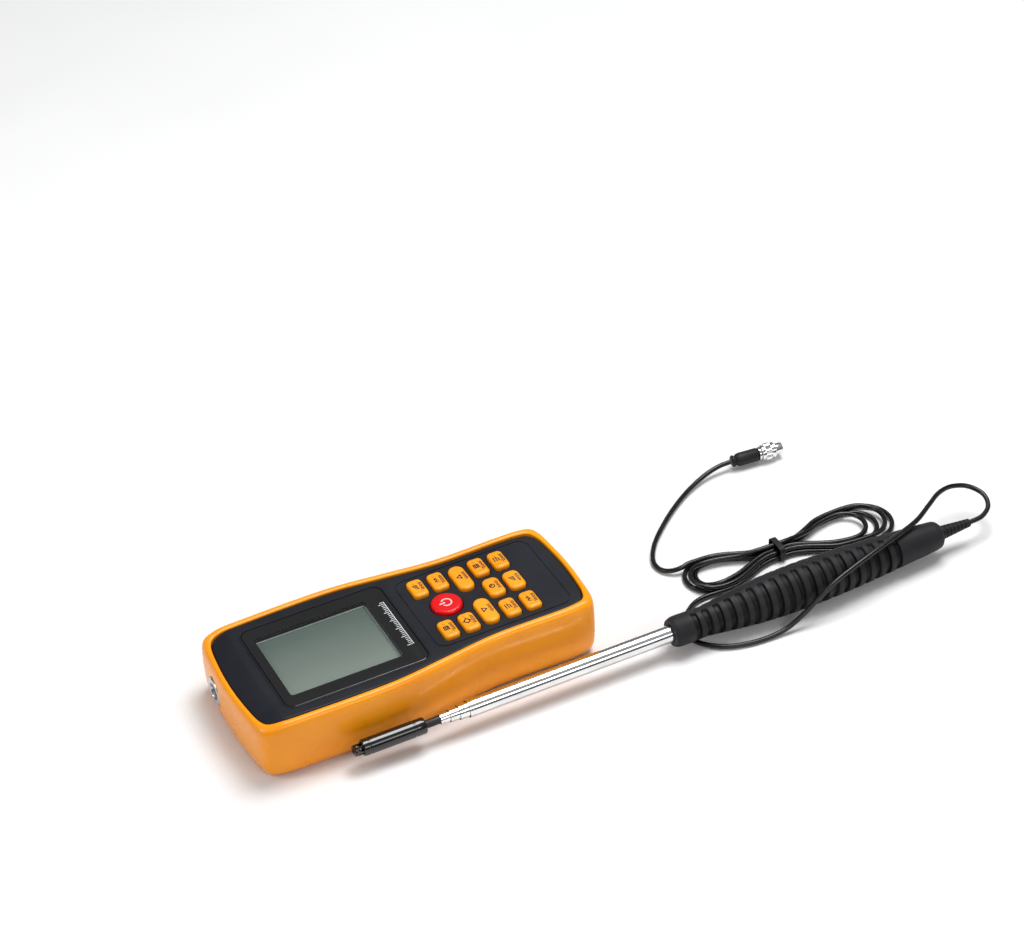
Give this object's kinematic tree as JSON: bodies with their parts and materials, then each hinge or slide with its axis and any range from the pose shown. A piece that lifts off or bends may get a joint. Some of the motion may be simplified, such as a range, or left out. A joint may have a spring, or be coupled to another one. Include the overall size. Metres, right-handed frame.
{
  "type": "hot-wire anemometer",
  "caption": "Handheld air-velocity meter with display and keypad, a telescopic wired probe with a ribbed grip, and its tied cable and round plug.",
  "frame": {"origin": "centre of the meter's flat back rest face", "axes": "+X along the meter from its display end to its keypad end, +Z out of its front face, +Y towards its left long side with the probe on the other side"},
  "size_m": [0.4392, 0.1448, 0.0374],
  "materials": {
    "orange_plastic": "satin gloss moulded plastic, fine spark texture",
    "charcoal_plastic": "matte moulded plastic, fine grain",
    "black_plastic": "semi-gloss moulded plastic",
    "window_glass": "polished clear window with a printed black border",
    "lcd_glass": "grey-green liquid crystal panel",
    "red_plastic": "satin gloss moulded key",
    "key_plastic": "satin moulded key",
    "board": "green solder mask",
    "silicone": "matte grey silicone",
    "steel": "machined, satin",
    "chrome": "polished, faint drawing lines",
    "battery_wrap": "plain shrink sleeve",
    "handle_plastic": "matte grip plastic",
    "rubber": "satin flexible PVC and rubber"
  },
  "bodies": {
    "meter": {"rear_housing": "orange_plastic", "front_housing": "charcoal_plastic", "display_window": "window_glass", "lcd_module": "lcd_glass", "keypad_membrane": "silicone", "main_board": "board", "processor_chip": "black_plastic", "buzzer": "black_plastic", "battery_tray": "black_plastic", "battery_contact_front": "steel", "battery_contact_rear": "steel", "probe_socket": "steel", "socket_nut": "steel", "battery_cell_1": "battery_wrap", "battery_cell_2": "battery_wrap", "battery_cell_3": "battery_wrap", "battery_cell_4": "battery_wrap", "housing_screw_1": "steel", "housing_screw_2": "steel", "housing_screw_3": "steel", "housing_screw_4": "steel"},
    "battery_door": {"battery_door": "orange_plastic"},
    "probe": {"handle_right": "handle_plastic", "handle_left": "handle_plastic", "handle_board": "board", "handle_screw_1": "steel", "handle_screw_2": "steel", "strain_relief": "rubber", "mast_tube_1": "chrome", "cable_to_hank": "rubber", "cable_hank": "rubber", "cable_tie": "rubber", "cable_to_plug": "rubber", "plug_boot": "rubber", "plug_shell": "chrome", "plug_insert": "black_plastic"},
    "mast_2": {"mast_tube_2": "chrome"},
    "mast_3": {"mast_tube_3": "chrome"},
    "mast_4": {"mast_tube_4": "chrome", "sensor_stem": "black_plastic", "sensor_cage": "black_plastic", "sensor_bead": "steel"},
    "sleeve": {"protective_sleeve": "black_plastic"},
    "coupling_ring": {"coupling_ring": "chrome"},
    "key_left_1": {"key_left_1": "key_plastic"},
    "key_left_2": {"key_left_2": "key_plastic"},
    "key_left_3": {"key_left_3": "key_plastic"},
    "key_left_4": {"key_left_4": "key_plastic"},
    "key_left_5": {"key_left_5": "key_plastic"},
    "key_right_1": {"key_right_1": "key_plastic"},
    "key_right_2": {"key_right_2": "key_plastic"},
    "key_right_3": {"key_right_3": "key_plastic"},
    "key_right_4": {"key_right_4": "key_plastic"},
    "key_right_5": {"key_right_5": "key_plastic"},
    "key_middle_4": {"key_middle_4": "key_plastic"},
    "key_middle_5": {"key_middle_5": "key_plastic"},
    "key_power": {"key_power": "red_plastic"}
  },
  "joints": [
    {"name": "key_left_1_press", "type": "slide", "parent": "meter", "child": "key_left_1", "axis": [0, 0, -1], "range_m": [0, 0.001], "stiffness_N_per_m": 300},
    {"name": "key_left_2_press", "type": "slide", "parent": "meter", "child": "key_left_2", "axis": [0, 0, -1], "range_m": [0, 0.001], "stiffness_N_per_m": 300},
    {"name": "key_left_3_press", "type": "slide", "parent": "meter", "child": "key_left_3", "axis": [0, 0, -1], "range_m": [0, 0.001], "stiffness_N_per_m": 300},
    {"name": "key_left_4_press", "type": "slide", "parent": "meter", "child": "key_left_4", "axis": [0, 0, -1], "range_m": [0, 0.001], "stiffness_N_per_m": 300},
    {"name": "key_left_5_press", "type": "slide", "parent": "meter", "child": "key_left_5", "axis": [0, 0, -1], "range_m": [0, 0.001], "stiffness_N_per_m": 300},
    {"name": "key_right_1_press", "type": "slide", "parent": "meter", "child": "key_right_1", "axis": [0, 0, -1], "range_m": [0, 0.001], "stiffness_N_per_m": 300},
    {"name": "key_right_2_press", "type": "slide", "parent": "meter", "child": "key_right_2", "axis": [0, 0, -1], "range_m": [0, 0.001], "stiffness_N_per_m": 300},
    {"name": "key_right_3_press", "type": "slide", "parent": "meter", "child": "key_right_3", "axis": [0, 0, -1], "range_m": [0, 0.001], "stiffness_N_per_m": 300},
    {"name": "key_right_4_press", "type": "slide", "parent": "meter", "child": "key_right_4", "axis": [0, 0, -1], "range_m": [0, 0.001], "stiffness_N_per_m": 300},
    {"name": "key_right_5_press", "type": "slide", "parent": "meter", "child": "key_right_5", "axis": [0, 0, -1], "range_m": [0, 0.001], "stiffness_N_per_m": 300},
    {"name": "key_middle_4_press", "type": "slide", "parent": "meter", "child": "key_middle_4", "axis": [0, 0, -1], "range_m": [0, 0.001], "stiffness_N_per_m": 300},
    {"name": "key_middle_5_press", "type": "slide", "parent": "meter", "child": "key_middle_5", "axis": [0, 0, -1], "range_m": [0, 0.001], "stiffness_N_per_m": 300},
    {"name": "key_power_press", "type": "slide", "parent": "meter", "child": "key_power", "axis": [0, 0, -1], "range_m": [0, 0.001], "stiffness_N_per_m": 300},
    {"name": "battery_door_off", "type": "slide", "parent": "meter", "child": "battery_door", "axis": [0, 0, -1], "range_m": [0, 0.03]},
    {"name": "probe_lift", "type": "slide", "parent": "meter", "child": "probe", "axis": [0, 0, 1], "range_m": [0, 0.12]},
    {"name": "mast_2_slide", "type": "slide", "parent": "probe", "child": "mast_2", "axis": [-1, 0, 0], "range_m": [0, 0.16]},
    {"name": "mast_3_slide", "type": "slide", "parent": "mast_2", "child": "mast_3", "axis": [-1, 0, 0], "range_m": [0, 0.16]},
    {"name": "mast_4_slide", "type": "slide", "parent": "mast_3", "child": "mast_4", "axis": [-1, 0, 0], "range_m": [0, 0.16]},
    {"name": "sleeve_slide", "type": "slide", "parent": "mast_4", "child": "sleeve", "axis": [1, 0, 0], "range_m": [0, 0.008]},
    {"name": "coupling_ring_turn", "type": "hinge", "parent": "probe", "child": "coupling_ring", "pos_m": [0.26131, 0.06489, 0.0054], "axis": [0.9962, -0.0872, 0], "continuous": true}
  ]
}
